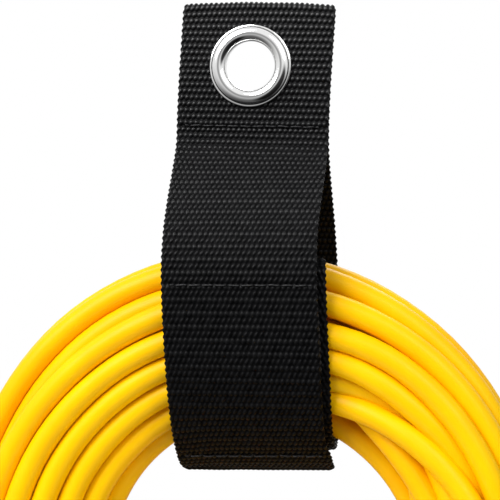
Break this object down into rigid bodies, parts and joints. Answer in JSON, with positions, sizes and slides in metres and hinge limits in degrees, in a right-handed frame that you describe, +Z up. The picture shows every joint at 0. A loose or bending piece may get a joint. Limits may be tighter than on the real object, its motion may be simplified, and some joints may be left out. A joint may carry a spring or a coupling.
{
  "type": "extension cord",
  "caption": "Yellow three-core extension cord coiled into a ring, with moulded plug and socket ends, hung in a black webbing hook-and-loop strap with a metal grommet.",
  "frame": {"origin": "centre of the strap's grommet hole, halfway through the folded webbing, where the object hangs on a hook", "axes": "+Z up, +X to the right seen from the front, -Y towards the front, where the flap and the grommet's crown face"},
  "size_m": [0.2176, 0.0593, 0.3751],
  "materials": {
    "webbing": "coarse woven polypropylene, satin",
    "hook_and_loop": "napped",
    "thread": "satin",
    "nickel": "polished",
    "cord_jacket": "semi-gloss PVC",
    "moulded_end": "satin moulded PVC",
    "face_insert": "satin",
    "brass": "bright",
    "black_wire": "satin",
    "white_wire": "satin",
    "green_wire": "satin"
  },
  "bodies": {
    "strap": {"tab_webbing": "webbing", "back_strap": "webbing", "grommet": "nickel", "grommet_washer": "nickel", "tab_seam_front_thread": "thread", "tab_seam_back_thread": "thread"},
    "flap": {"front_flap": "webbing", "hook_tape": "hook_and_loop", "flap_upper_thread": "thread", "flap_end_thread": "thread"},
    "wrap": {"wrap_strap": "webbing", "loop_tape": "hook_and_loop"},
    "coil": {"coil": "cord_jacket", "plug_lead": "cord_jacket", "connector_lead": "cord_jacket", "plug_body": "moulded_end", "connector_body": "moulded_end", "plug_strain_relief": "moulded_end", "connector_strain_relief": "moulded_end", "plug_bridge": "face_insert", "connector_insert": "face_insert", "plug_live_blade": "brass", "plug_neutral_blade": "brass", "plug_ground_pin": "brass", "connector_live_contact": "brass", "connector_neutral_contact": "brass", "connector_ground_contact": "brass", "plug_live_wire": "black_wire", "connector_live_wire": "black_wire", "plug_neutral_wire": "white_wire", "connector_neutral_wire": "white_wire", "plug_ground_wire": "green_wire", "connector_ground_wire": "green_wire"}
  },
  "joints": [
    {"name": "flap_peel", "type": "hinge", "parent": "strap", "child": "flap", "pos_m": [0, -0.00175, -0.023], "axis": [-1, 0, 0], "range_deg": [0, 120]},
    {"name": "wrap_open", "type": "hinge", "parent": "strap", "child": "wrap", "pos_m": [0, 0.0193, -0.1126], "axis": [1, 0, 0], "range_deg": [0, 66]},
    {"name": "coil_turn", "type": "hinge", "parent": "strap", "child": "coil", "pos_m": [-0.0026, 0, -0.1582], "axis": [0, 1, 0], "range_deg": [-6, 6]}
  ],
  "couplings": [
    {"joint": "wrap_open", "follows": "flap_peel", "ratio": 0.55}
  ]
}
